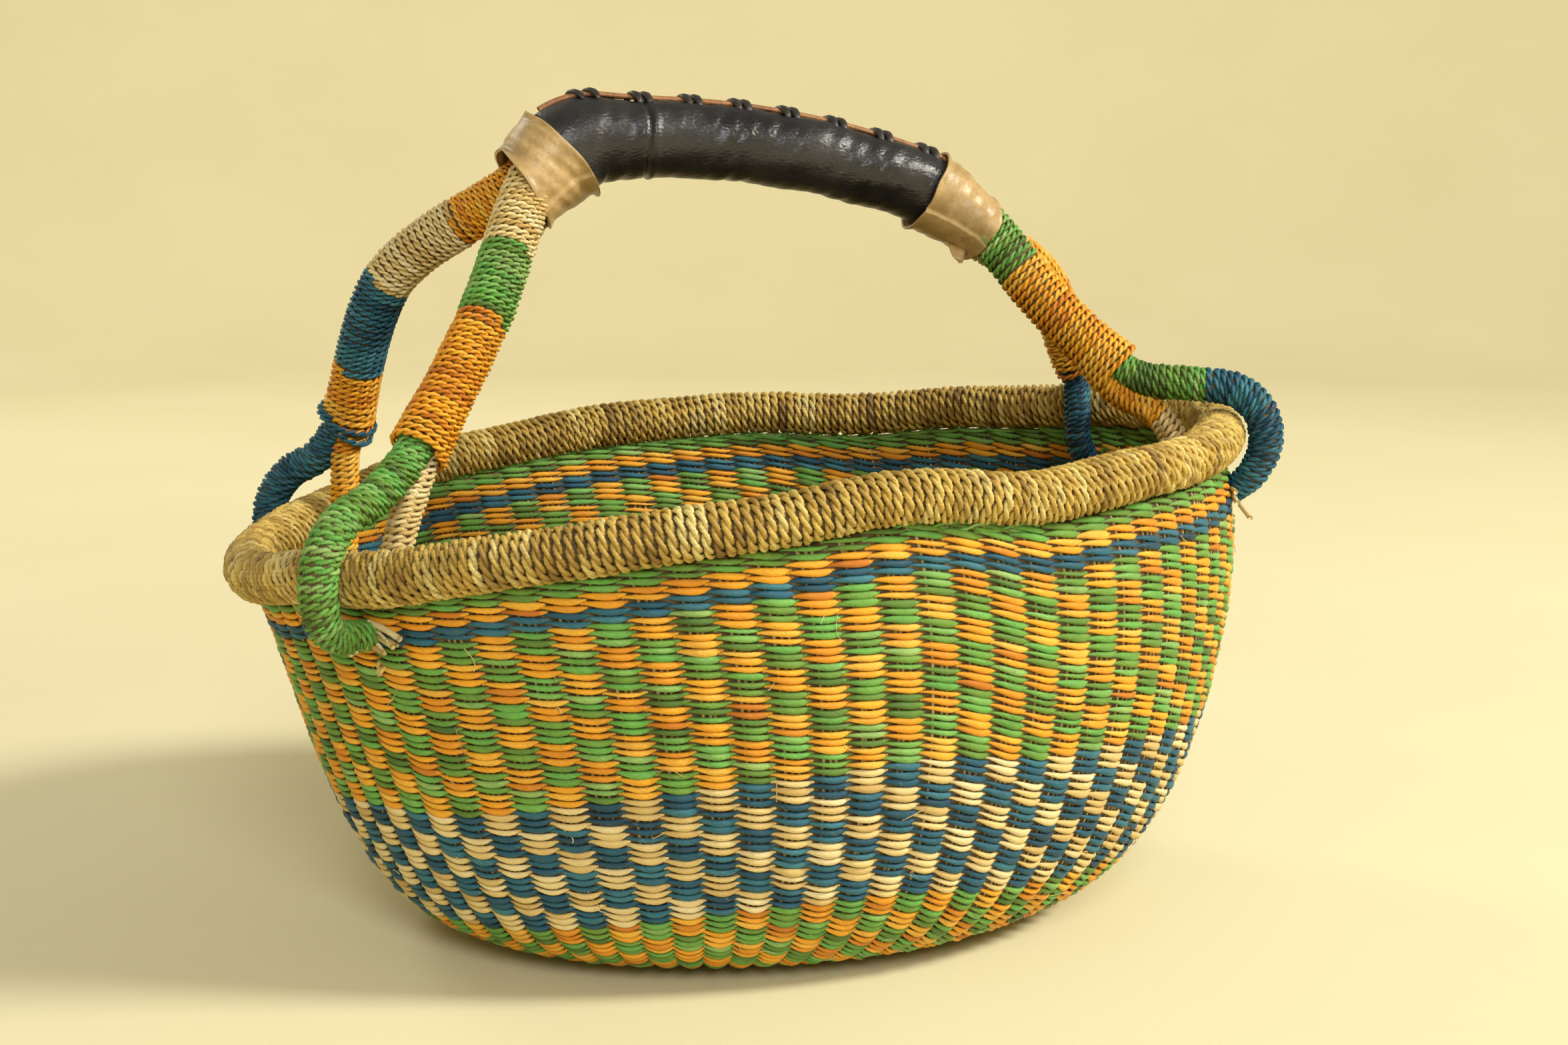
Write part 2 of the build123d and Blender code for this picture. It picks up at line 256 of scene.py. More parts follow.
def strand_mesh(name, centre, u, v, half_u, half_v, tint, points=RING_POINTS, closed=False, cell=None):
    """One mesh of many strands. centre, u and v are [strand, step, 3], and the rest [strand, step]."""
    strands, steps, _ = centre.shape
    angle = np.arange(points) / points * TAU
    ring_u = np.cos(angle)[None, None, :, None] * (u * half_u[..., None])[:, :, None, :]
    ring_v = np.sin(angle)[None, None, :, None] * (v * half_v[..., None])[:, :, None, :]
    co = centre[:, :, None, :] + ring_u + ring_v
    spans = steps if closed else steps - 1
    k, s, i = np.meshgrid(np.arange(strands), np.arange(spans), np.arange(points), indexing="ij")

    def index(a, b, c):
        return (a * steps + b) * points + c

    quads = ring_quads(index, points, k, s, (s + 1) % steps, i)
    cell = cell or max(1, spans // 8)
    per_strand = -(-spans // cell)
    number = (k * per_strand + s // cell).ravel()
    grid = math.ceil(math.sqrt(strands * per_strand))
    left, bottom = number % grid, number // grid
    along = ((s % cell) / cell).ravel()
    up = (i / points).ravel()
    uv = []
    for a, b in UV_CORNERS:
        uv.append(np.stack([(left + along + a / cell) / grid, (bottom + up + b / points) / grid], -1))
    shade = np.repeat(tint.reshape(-1), points)
    step_length = np.linalg.norm(np.diff(centre, axis=1), axis=-1)
    way = np.concatenate([np.zeros((strands, 1)), np.cumsum(step_length, 1)], 1)
    start = rng.random(strands)[:, None] * 5.0
    grain = np.zeros((strands, steps, points, 3))
    grain[..., 0] = (way + start)[:, :, None]
    turned = angle[None, None, :] + (TAU * way / FIBRE_LAY)[:, :, None]
    grain[..., 1] = np.cos(turned) * half_v[..., None] + start[:, :, None] * 3.1
    grain[..., 2] = np.sin(turned) * half_v[..., None]
    caps = []
    if not closed:
        for k_end in range(strands):
            caps.append([index(k_end, 0, c) for c in range(points)])
            caps.append([index(k_end, steps - 1, c) for c in reversed(range(points))])
    uv = np.stack(uv, 1).reshape(-1, 2)
    return build_mesh(name, co.reshape(-1, 3), quads, uv, caps, shade, grain.reshape(-1, 3))


def build_mesh(name, verts, quads, uv, caps=(), tint=None, grain=None):
    """A smooth mesh object from arrays, with a UV map named OFBake and the attributes that materials read.
    """
    caps = [list(c) for c in caps]
    loops = np.concatenate([quads.ravel(), np.array([i for c in caps for i in c], int)]).astype(np.int32)
    sizes = np.concatenate([np.full(len(quads), 4), [len(c) for c in caps]]).astype(np.int32)
    starts = np.concatenate([[0], np.cumsum(sizes)[:-1]]).astype(np.int32)
    mesh = bpy.data.meshes.new(name)
    mesh.vertices.add(len(verts))
    mesh.vertices.foreach_set("co", np.ascontiguousarray(verts, np.float32).ravel())
    mesh.loops.add(len(loops))
    mesh.loops.foreach_set("vertex_index", loops)
    mesh.polygons.add(len(sizes))
    mesh.polygons.foreach_set("loop_start", starts)
    mesh.polygons.foreach_set("use_smooth", np.ones(len(sizes), bool))
    layer = mesh.uv_layers.new(name="OFBake")
    full = np.zeros((len(loops), 2), np.float32)
    full[: len(uv)] = uv
    layer.data.foreach_set("uv", full.ravel())
    if tint is not None:
        mesh.attributes.new("tint", "FLOAT", "POINT").data.foreach_set("value", tint.astype(np.float32))
    if grain is not None:
        slot = mesh.attributes.new("grain", "FLOAT_VECTOR", "POINT")
        slot.data.foreach_set("vector", grain.astype(np.float32).ravel())
    mesh.update(calc_edges=True)
    mesh.validate()
    made = bpy.data.objects.new(name, mesh)
    bpy.context.collection.objects.link(made)
    return made


def place(piece, material, slot, *nodes):
    """Give a piece its material and its body, and hide the CAD nodes that it stands for. The slot is not
    used.
    """
    piece.data.materials.append(material)
    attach(piece, "root")
    if nodes:
        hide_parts(*nodes)
    return piece


# ======================== materials ========================
class Nodes:
    """Small helper that keeps node set-up short."""

    def __init__(self, name):
        self.material = bpy.data.materials.new(name)
        self.material.use_nodes = True
        self.tree = self.material.node_tree
        self.shader = self.tree.nodes["Principled BSDF"]

    def add(self, kind, **settings):
        node = self.tree.nodes.new(kind)
        for key, value in settings.items():
            if key in node.inputs:
                node.inputs[key].default_value = value
            else:
                setattr(node, key, value)
        return node

    def join(self, source, target):
        self.tree.links.new(source, target)

    def ramp(self, source, stops):
        node = self.tree.nodes.new("ShaderNodeValToRGB")
        elements = node.color_ramp.elements
        while len(elements) < len(stops):
            elements.new(0.5)
        for element, (position, colour) in zip(elements, stops):
            element.position = position
            element.color = (*colour, 1)
        self.join(source, node.inputs["Fac"])
        return node.outputs["Color"]

    def mix(self, factor, first, second):
        node = self.add("ShaderNodeMix", data_type="RGBA")
        for value, socket in ((factor, node.inputs[0]), (first, node.inputs[6]), (second, node.inputs[7])):
            if isinstance(value, bpy.types.NodeSocket):
                self.join(value, socket)
            elif isinstance(value, tuple):
                socket.default_value = (*value, 1)
            else:
                socket.default_value = value
        return node.outputs[2]

    def scaled(self, source, size):
        node = self.add("ShaderNodeVectorMath", operation="MULTIPLY")
        node.inputs[1].default_value = size
        self.join(source, node.inputs[0])
        return node.outputs[0]

    def noise(self, vector, scale, detail=2.0, rough=0.5):
        node = self.add("ShaderNodeTexNoise", Scale=scale, Detail=detail, Roughness=rough)
        self.join(vector, node.inputs["Vector"])
        return node.outputs["Fac"]

    def times(self, source, factor):
        node = self.add("ShaderNodeMath", operation="MULTIPLY")
        self.join(source, node.inputs[0])
        node.inputs[1].default_value = factor
        return node.outputs[0]

    def bump(self, height, strength, distance, under=None):
        node = self.add("ShaderNodeBump", Strength=strength, Distance=distance)
        self.join(height, node.inputs["Height"])
        if under is not None:
            self.join(under, node.inputs["Normal"])
        return node.outputs["Normal"]


STREAK = 0.42                 # how strongly the dark fibres and the pale flecks show on the straw
FLECK = 0.22
FLECK_COLOUR = (0.62, 0.50, 0.26)


def straw(name, stops, dark, rough=0.40, mottle=0.32):
    """Twisted grass straw: tint picks its shade, fine streaks run along it, patches are darker or drier."""
    n = Nodes(name)
    tint = n.add("ShaderNodeAttribute", attribute_name="tint")
    grain = n.add("ShaderNodeAttribute", attribute_name="grain")
    place_on = n.add("ShaderNodeTexCoord")
    fibres = n.noise(n.scaled(grain.outputs["Vector"], (90, 2600, 2600)), 1.0, 3.0, 0.6)
    patches = n.noise(place_on.outputs["Object"], 95.0, 3.0)
    flecks = n.noise(n.scaled(grain.outputs["Vector"], (260, 900, 900)), 1.0, 2.0)
    shade = n.ramp(tint.outputs["Fac"], stops)
    fibre_mask = n.ramp(fibres, [(0.32, (1, 1, 1)), (0.62, (0, 0, 0))])
    patch_mask = n.ramp(patches, [(0.42, (0, 0, 0)), (0.72, (1, 1, 1))])
    fleck_mask = n.ramp(flecks, [(0.66, (0, 0, 0)), (0.8, (1, 1, 1))])
    colour = n.mix(n.times(fibre_mask, STREAK), shade, dark)
    colour = n.mix(n.times(patch_mask, mottle), colour, dark)
    colour = n.mix(n.times(fleck_mask, FLECK), colour, FLECK_COLOUR)
    n.join(colour, n.shader.inputs["Base Color"])
    gloss = n.add("ShaderNodeMapRange")
    n.join(fibres, gloss.inputs["Value"])
    gloss.inputs["To Min"].default_value = rough - 0.08
    gloss.inputs["To Max"].default_value = rough + 0.22
    n.join(gloss.outputs[0], n.shader.inputs["Roughness"])
    n.join(n.bump(fibres, 0.85, 0.0005), n.shader.inputs["Normal"])
    n.shader.inputs["Specular IOR Level"].default_value = 0.38
    n.shader.inputs["Coat Weight"].default_value = 0.05
    n.shader.inputs["Coat Roughness"].default_value = 0.3
    return n.material


ORANGE = [
    (0.0, (0.55, 0.17, 0.008)), (0.25, (0.84, 0.34, 0.012)),
    (0.6, (0.96, 0.47, 0.02)), (1.0, (0.94, 0.58, 0.08)),
]
GREEN = [
    (0.0, (0.08, 0.16, 0.025)), (0.35, (0.19, 0.36, 0.05)),
    (0.7, (0.16, 0.48, 0.085)), (1.0, (0.36, 0.56, 0.16)),
]
BLUE = [(0.0, (0.008, 0.05, 0.09)), (0.5, (0.012, 0.115, 0.19)), (1.0, (0.05, 0.23, 0.30))]
CREAM = [(0.0, (0.58, 0.38, 0.12)), (0.5, (0.80, 0.62, 0.26)), (1.0, (0.90, 0.78, 0.46))]
RIM_STRAW = [
    (0.0, (0.28, 0.16, 0.03)), (0.3, (0.60, 0.39, 0.07)),
    (0.7, (0.80, 0.57, 0.13)), (1.0, (0.92, 0.75, 0.28)),
]

straw_orange = straw("straw_orange", ORANGE, (0.42, 0.13, 0.01))
straw_green = straw("straw_green", GREEN, (0.03, 0.10, 0.02))
straw_blue = straw("straw_blue", BLUE, (0.005, 0.02, 0.04), mottle=0.3)
straw_cream = straw("straw_cream", CREAM, (0.50, 0.32, 0.09))
straw_rim = straw("straw_rim", RIM_STRAW, (0.17, 0.10, 0.035), rough=0.42, mottle=0.40)
straw_stake = straw("straw_stake", CREAM, (0.36, 0.24, 0.08), rough=0.5)
COLOURS = {"orange": straw_orange, "green": straw_green, "blue": straw_blue, "natural": straw_cream}


# ======================== weave ========================
def weave_rows():
    """Every row from the rim down: its share of the way up, its band and the colours of its two weavers."""
    bands = [
        ("stripe_green", 4, TOP_PITCH, ("green", "green")),
        ("stripe_orange", 2, TOP_PITCH, ("orange", "orange")),
        ("stripe_blue", 2, TOP_PITCH, ("blue", "blue")),
        ("weave_upper", 24, TOP_PITCH, ("green", "orange")),
        ("weave_lower", 18, LOWER_PITCH, ("natural", "blue")),
        ("weave_base", 200, BASE_PITCH, ("green", "orange")),
    ]
    rows, depth = [], -1.2 * TOP_PITCH
    for band, count, pitch, colours in bands:
        for number in range(count):
            depth += pitch
            up = 1 - (depth - pitch / 2) / wall.front_length
            if up * wall.front_length < 5 * MM:
                return rows
            swap = (number // 3) % 2
            rows.append((up, pitch, band, colours[::-1] if swap else colours))
    return rows


def weaver(way_up, pitch, stakes, which):
    """Centreline, frame, half sizes and stake numbers of one of a row's two weavers, all the way round."""
    steps = stakes * STEPS_PER_STAKE
    place_round = np.arange(steps) / STEPS_PER_STAKE
    stitch = np.floor(place_round + 0.5).astype(int) % stakes
    turn = math.pi * (place_round - which)
    jitter_up = rng.normal(0, 0.15 * MM, stakes)[stitch]
    thickness = (1 + rng.normal(0, 0.13, stakes))[stitch]
    swing = (1 + rng.normal(0, 0.10, stakes))[stitch]
    sagging = (1 + rng.normal(0, 0.35, stakes))[stitch]
    out = np.cos(turn)
    soft = np.abs(out)
    point, normal, up = wall.at(place_round / stakes, way_up)
    local = wall.length_at(place_round / stakes) / wall.front_length
    along = place_round + 0.5 - np.floor(place_round + 0.5)
    late = np.sin(math.pi * along**1.35) ** 0.62
    sway = np.sign(out) * soft**0.7 * OUT_SWING * swing
    sag = SAG * (1 - way_up) * (soft - 0.6) * sagging
    climb = -np.sin(turn) * TWIST_SWING * local + jitter_up * soft - sag
    centre = point + normal * sway[:, None] + up * climb[:, None]
    tall = pitch * local * 0.5 * (0.36 + 0.60 * late) * thickness
    thick = STRAND_THICK * (0.66 + 0.34 * late)
    return centre, normal, up, thick, tall, stitch


def weave_piece(name, rows, material, slot, node):
    """All the weavers of one colour in some rows, as one mesh."""
    groups = {}
    for way_up, pitch, stakes, which in rows:
        groups.setdefault(stakes, []).append(weaver(way_up, pitch, stakes, which))
    for stakes, weavers in groups.items():
        centre, normal, up, thick, tall, stitch = (np.stack(part) for part in zip(*weavers))
        shade = rng.beta(2.2, 2.0, (len(weavers), stakes))
        row_shade = rng.normal(0, 0.10, (len(weavers), 1))
        tint = np.take_along_axis(np.clip(shade + row_shade, 0, 1), stitch, 1)
        whole = name if len(groups) == 1 or stakes == STAKES else name + "_centre"
        cell = STEPS_PER_STAKE * 2
        piece = strand_mesh(whole, centre, normal, up, thick, tall, tint, closed=True, cell=cell)
        place(piece, material, slot, node)


def make_weave():
    """One piece for each colour of each band, and no more than MOST_WEAVERS weavers in a piece."""
    sorted_rows = {}
    for way_up, pitch, band, colours in weave_rows():
        stakes = STAKES if way_up > CENTRE_SHARE else CENTRE_STAKES
        for which, colour in enumerate(colours):
            sorted_rows.setdefault((band, colour), []).append((way_up, pitch, stakes, which))
    slots = {
        "weave_upper": "straw_orange_green", "weave_base": "straw_orange_green",
        "weave_lower": "straw_blue_natural", "stripe_green": "straw_green",
        "stripe_orange": "straw_orange", "stripe_blue": "straw_blue",
    }
    for (band, colour), rows in sorted_rows.items():
        parts = math.ceil(len(rows) / MOST_WEAVERS)
        for part in range(parts):
            some = rows[part * len(rows) // parts : (part + 1) * len(rows) // parts]
            weave_piece(f"{band}_{colour}_{part + 1}", some, COLOURS[colour], slots[band], band)


def make_stakes():
    """The thin straws that the rows are twined round, three to a stake."""
    steps = 82
    spread = np.array([-0.17, 0.0, 0.16])
    reaches = (("stakes", STAKES, CENTRE_SHARE, 1.0), ("stakes_centre", CENTRE_STAKES, 0.02, CENTRE_SHARE))
    for name, stakes, low, high in reaches:
        lines = np.repeat(np.arange(stakes), len(spread)) + np.tile(spread, stakes)
        lines = lines + rng.normal(0, 0.02, len(lines))
        way_up = np.linspace(low, high, steps)
        point, normal, up = wall.at(lines[:, None] / stakes, way_up[None, :])
        half = np.full(point.shape[:2], STAKE_RADIUS)
        tint = np.repeat(rng.random(len(lines))[:, None], steps, 1)
        side = np.cross(up, normal)
        piece = strand_mesh(name, point, normal, side, half, half, tint, points=5, cell=27)
        place(piece, straw_stake, "straw_blue_natural")


def make_gap_shade():
    """A dark brown sheet between the two layers of stitches, which closes the gaps of the weave; its colour
    is painted shade for the gaps.
    """
    up = np.linspace(0.0, 1.0, 70)[:, None]
    around = np.arange(260)[None, :] / 260
    point, normal, _ = wall.at(around, up)
    outer, inner = point + normal * 0.2 * MM, point - normal * 0.2 * MM
    place(tube_grid("gap_shade", np.concatenate([outer, inner[::-1]]), caps=True), gap_shade, "straw_natural")


# ======================== corded rolls ========================
CORD_LAY = 2.9                # length of one full twist of the two plies, in cord widths
PLY_APART = 0.50              # distance of a ply's middle from the cord's, over half the cord's width
PLY_THICK = 0.56              # half sizes of a ply, over half the cord's width
PLY_WIDE = 0.63
RIM_PITCH = 3.6 * MM          # spacing of the turns round the rim, the legs and the branches
LEG_PITCH = 2.8 * MM
BRANCH_PITCH = 2.5 * MM
BRANCH_CORD = 3.2 * MM        # the cord on a branch is wider than its spacing, which opens out in the bends
RIM_CORD_DEPTH = 2.4 * MM     # how deep the straw bundles lie under the outside of the cords
LEG_CORD_DEPTH = 1.9 * MM
BRANCH_CORD_DEPTH = 1.5 * MM


def noise_line(length, spacing, amount):
    """Smooth random values by distance."""
    knots = max(4, int(length / spacing) + 2)
    values = rng.normal(0, amount, knots)
    values = np.append(values[:-1], values[0])
    return lambda d: np.interp(np.mod(d, length) / length * (knots - 1), np.arange(knots), values)


def wind(name, route, start, end, radii, pitch, material, slot, nodes, steps_per_turn=36, width=None):
    """A two-ply cord wound closely round a route. radii gives its two radii at distances along it."""
    length = end - start
    turns = max(1, round(length / pitch))
    share = np.linspace(0, 1, turns * steps_per_turn + 1)
    distance = start + share * length
    drift = noise_line(route.length, 14 * MM, 0.45 * MM)

    def ease(from_end):
        return np.sin(math.pi * np.clip(from_end * 12, 0, 0.5))

    distance = distance + drift(distance) * ease(share) * ease(1 - share)
    around = share * turns * TAU
    point, heading, u, v = route.at(distance)
    ru, rv = radii(distance)
    cord = (width or pitch) * 0.5
    lump = 1 + noise_line(route.length, 9 * MM, 0.012)(distance)
    outward = unit(u * (np.cos(around) * rv)[:, None] + v * (np.sin(around) * ru)[:, None])
    along_u, along_v = np.cos(around) * (ru - cord) * lump, np.sin(around) * (rv - cord) * lump
    centre = point + u * along_u[:, None] + v * along_v[:, None]
    way = np.concatenate([[0], np.cumsum(np.linalg.norm(np.diff(centre, axis=0), axis=1))])
    lay = noise_line(way[-1], 60 * MM, 0.5)(way)
    twist = TAU * way / (2 * cord * CORD_LAY) + lay
    plies, frame_u, frame_v = [], [], []
    for side in (0.0, math.pi):
        away = np.cos(twist + side)[:, None] * outward + np.sin(twist + side)[:, None] * heading
        plies.append(centre + away * cord * PLY_APART)
        frame_u.append(away)
        frame_v.append(np.cos(twist + side)[:, None] * heading - np.sin(twist + side)[:, None] * outward)
    size = cord * (1 + noise_line(way[-1], 16 * MM, 0.07)(way))
    thick = np.stack([size, size]) * PLY_THICK
    wide = np.stack([size, size]) * PLY_WIDE
    shade = noise_line(way[-1], 12 * MM, 0.26)(way) + noise_line(way[-1], 90 * MM, 0.20)(way)
    tint = np.clip(0.52 + shade[None, :] + np.array([[-0.04], [0.06]]), 0, 1)
    plies, frame_u, frame_v = np.stack(plies), np.stack(frame_u), np.stack(frame_v)
    piece = strand_mesh(name, plies, frame_u, frame_v, thick, wide, tint, points=7, cell=steps_per_turn)
    return place(piece, material, slot, *nodes)


def core(name, route, start, end, radii, ends=True):
    """The straw bundle inside a corded roll, rounded off at its ends, dark brown as painted shade where it
    shows between the wraps. It has its CAD node's name.
    """
    steps = max(8, int((end - start) / (2 * MM)))
    distance = np.linspace(start, end, steps)
    point, heading, u, v = route.at(distance)
    close = np.ones(steps)
    ru, rv = radii(distance)
    if ends:
        close = np.sqrt(np.clip(np.minimum(distance - start, end - distance) / ru.mean(), 0.02, 1))
    half_u, half_v, tint = (ru * close)[None], (rv * close)[None], np.full((1, steps), 0.35)
    piece = strand_mesh(name, point[None], u[None], v[None], half_u, half_v, tint, points=28)
    place(piece, gap_shade, "straw_bundle", name)


def make_rim():
    """The rim: a straw bundle wound all the way round with natural two-ply cord."""
    theta = equal_theta(np.arange(1440) / 1440)
    height = RIM_HEIGHT + RIM_RISE * np.cos(theta) + rim_wave(theta)
    line = np.stack([HALF_LENGTH * np.cos(theta), HALF_WIDTH * np.sin(theta), height], -1)
    outward = np.stack([np.cos(theta) / HALF_LENGTH, np.sin(theta) / HALF_WIDTH, 0 * theta], -1)
    route = Route(line, unit(outward), closed=True)
    swell = noise_line(route.length, 45 * MM, 0.35 * MM)

    def radii(d, inside=0.0):
        return (RIM_RADIUS + 0.2 * MM + swell(d) - inside,) * 2

    core("rim_core", route, 0, route.length, lambda d: radii(d, RIM_CORD_DEPTH), ends=False)
    parts = 3
    for part in range(parts):
        start, end = route.length * part / parts, route.length * (part + 1) / parts
        name = f"rim_cord_{part + 1}"
        wind(name, route, start, end, radii, RIM_PITCH, straw_rim, "straw_natural", ["rim_wrap"])


# ======================== handle ========================
GRIP_LEFT = (-57.0 * MM, 132.5 * MM)         # ends of the grip's arc: x, and height over the rim's middle
GRIP_RIGHT = (70.0 * MM, 115.5 * MM)
GRIP_BOW = 6.0 * MM
LEATHER_RADIUS = 15.6 * MM
GRIP_CORE_RADIUS = 13.0 * MM
BEND_LEFT = (30.0 * MM, math.radians(26))    # radius and turn of the bends under the ends of the leather
BEND_RIGHT = (50.0 * MM, math.radians(11))
ELBOW_LEFT = (60.0 * MM, math.radians(19))   # and of the elbows under the rawhide
ELBOW_RIGHT = (110.0 * MM, math.radians(12))
LEG_RADIUS = 10.0 * MM
OUTER_RADIUS = 7.2 * MM
INNER_RADIUS = 6.0 * MM
LEG_SLACK = 0.3 * MM          # the cord stands this far over the leg's radius
LEAD = 12.0 * MM              # how far a leg's line starts inside the elbow, and a branch's inside the leg
FORK_WIDEN = 2.6 * MM         # a leg is this much broader across at its fork
OVER_LEFT = ((7, 20.5), (16.6, 9), (18.4, -5), (12.5, -17.5))     # mm outwards and up from the rim
OVER_RIGHT = ((6, 18.2), (15.5, 10), (18, -3), (13, -15))
OUTER_DROP = 23.0 * MM        # how far under the rim the branches end on the wall
INNER_DROP = 40.0 * MM


def grip_centre():
    """Centreline of the grip between the ends of its elbows, and where the leather starts and ends."""
    a = np.array([GRIP_LEFT[0], RIM_HEIGHT + GRIP_LEFT[1]])
    b = np.array([GRIP_RIGHT[0], RIM_HEIGHT + GRIP_RIGHT[1]])
    chord = np.linalg.norm(b - a)
    radius = chord**2 / (8 * GRIP_BOW) + GRIP_BOW / 2
    slope = math.atan2(b[1] - a[1], b[0] - a[0])
    half = math.asin(chord / 2 / radius)
    turn = np.linspace(half, -half, 120) + slope
    middle = (a + b) / 2 + (GRIP_BOW - radius) * np.array([-math.sin(slope), math.cos(slope)])
    arc = middle + radius * np.stack([-np.sin(turn), np.cos(turn)], -1)

    def bent(start, heading, side, bend_radius, bend):
        """The points of a bend and the heading at its end; side is 1 where it turns left."""
        centre = start + side * bend_radius * np.array([-math.sin(heading), math.cos(heading)])
        at = heading + side * np.linspace(0, 1, 40)[1:] * bend
        return centre - side * bend_radius * np.stack([-np.sin(at), np.cos(at)], -1), at[-1]

    left_bend, heading = bent(arc[0], math.pi + turn[0], 1, *BEND_LEFT)
    left_elbow = bent(left_bend[-1], heading, 1, *ELBOW_LEFT)[0]
    right_bend, heading = bent(arc[-1], turn[-1], -1, *BEND_RIGHT)
    right_elbow = bent(right_bend[-1], heading, -1, *ELBOW_RIGHT)[0]
    flat = np.vstack([left_elbow[::-1], left_bend[::-1], arc, right_bend, right_elbow])
    line = np.stack([flat[:, 0], np.zeros(len(flat)), flat[:, 1]], -1)
    route = Route(line, (0, 1, 0))
    return route, route.way[len(left_elbow)], route.way[-1 - len(right_elbow)]


def rim_point(theta):
    height = RIM_HEIGHT + RIM_RISE * math.cos(theta) + float(rim_wave(np.array(theta)))
    return np.array([HALF_LENGTH * math.cos(theta), HALF_WIDTH * math.sin(theta), height])


def inside_wall(theta, below_rim):
    """A point on the line of the stakes, beside a rim point and this far under it."""
    fine = np.linspace(0, 0.99999, 2000)
    share_round = np.interp(theta % TAU, equal_theta(fine), fine)
    return wall.at(share_round, 1 - (below_rim - WEAVE_DROP) / wall.length_at(share_round))[0]


def wound(kind, corner, route, start, end, radii, pitch, parts, steps, width=None):
    """Windings along a route in several colours: parts is a list of (end of the node's name, share)."""
    from_share = 0.0
    for words, to_share in parts:
        colour = words.split("_")[-1]
        node = f"{kind}_wrap_{corner}_{words}"
        first, last = start + from_share * (end - start), start + to_share * (end - start)
        wind(node, route, first, last, radii, pitch, COLOURS[colour], "cord_" + colour, [node], steps, width)
        from_share = to_share


def make_branch(kind, corner, points, tangent, size, parts):
    """One branch of a leg: its straw bundle and the cord round it, thinner towards its end."""
    route = Route(smooth_line(points), tangent)

    def radii(d, inside=0.0):
        return (size * (1.0 - 0.22 * np.clip(d / route.length * 4 - 3, 0, 1)) - inside,) * 2

    core(f"{kind}_core_{corner}", route, 0, route.length, lambda d: radii(d, BRANCH_CORD_DEPTH))
    wound(kind, corner, route, 4 * MM, route.length - 1 * MM, radii, BRANCH_PITCH, parts, 26, BRANCH_CORD)


def make_leg(corner, side, foot, over_points, top, leg_parts, outer_parts, inner_parts):
    """One leg with its outer branch over the rim and its inner branch inside it. foot is the angle of its
    place on the rim, the inset and height of its fork beside the rim in mm, and its outward bow in mm."""
    angle, inset, fork_above, bow = foot
    theta = math.radians(angle)
    near = rim_point(theta)
    out = unit(np.array([math.cos(theta) / HALF_LENGTH, math.sin(theta) / HALF_WIDTH, 0]))
    up = np.array([0, 0, 1.0])
    tangent = np.cross(up, out)

    def beside(outwards, above):
        return near + out * outwards * MM + up * above * MM

    end, heading = top
    start = end + np.array([0, side * LEG_RADIUS * 1.02, 0])
    fork = beside(-inset, fork_above)
    chord = unit(fork - start)
    bulge = unit(np.array([-chord[2], 0, chord[0]])) * (1 if chord[0] > 0 else -1)
    lead = start - heading * LEAD - np.array([0, side * 3 * MM, 0])
    middle = (start + fork) / 2 + bulge * bow * MM
    route = Route(smooth_line([lead, start, middle, fork, fork + chord * 3 * MM]), tangent)

    def radii(d, inside=0.0):
        half = LEG_RADIUS + LEG_SLACK + 0 * d - inside
        return half, half + FORK_WIDEN * np.clip((d / route.length - 0.72) / 0.28, 0, 1) ** 2

    core(f"leg_core_{corner}", route, 0, route.length, lambda d: radii(d, LEG_CORD_DEPTH))
    wound("leg", corner, route, 0, route.length - 1.5 * MM, radii, LEG_PITCH, leg_parts, 32)
    if corner == "rear_left":
        ring_start, ring_end = route.length - 7 * MM, route.length - 1 * MM
        wind("fork_ring", route, ring_start, ring_end, lambda d: radii(d, -1 * MM), LEG_PITCH,
             straw_blue, "cord_blue", [])

    crossing = over_points[0][1]
    over_wall = inside_wall(theta, OUTER_DROP)
    over = [
        fork - chord * LEAD + out * 1.5 * MM,
        beside(-0.82 * inset, fork_above - 3),
        beside(-0.27 * inset, crossing + 0.3 * (fork_above - crossing)),
        *(beside(*at) for at in over_points),
        over_wall,
    ]
    into = [
        fork - chord * LEAD - out * 3 * MM,
        beside(-inset - 0.5, fork_above - 8),
        beside(-0.33 * inset - 12, fork_above / 3),
        beside(-18, -2),
        beside(-16, -17),
        inside_wall(theta, INNER_DROP),
    ]
    make_branch("outer", corner, over, tangent, OUTER_RADIUS, outer_parts)
    make_branch("inner", corner, into, tangent, INNER_RADIUS, inner_parts)
    return over_wall, tangent, out


def make_legs(route):
    """The four legs, with the colours of their cords and the share of the way where each colour ends."""
    left = (route.line[0], -route.heading[0])
    right = (route.line[-1], route.heading[-1])
    return [
        make_leg(
            "front_left", -1, (214, 33, 42, -3), OVER_LEFT, left,
            [("natural", 0.33), ("green", 0.56), ("orange", 1)], [("green", 1)], [("natural", 1)],
        ),
        make_leg(
            "rear_left", 1, (150, 20, 42, 20), OVER_LEFT, left,
            [("orange", 0.29), ("natural", 0.55), ("blue", 0.82), ("low_orange", 1)],
            [("blue", 1)], [("orange", 1)],
        ),
        make_leg(
            "front_right", -1, (-22, 42, 26, -2), OVER_RIGHT, right,
            [("green", 0.38), ("orange", 1)],
            [("green", 0.4), ("blue", 1)], [("orange", 0.4), ("natural", 1)],
        ),
        make_leg(
            "rear_right", 1, (22, 20, 22, 10), OVER_RIGHT, right,
            [("natural", 0.38), ("orange", 1)], [("green", 1)], [("blue", 1)],
        ),
    ]


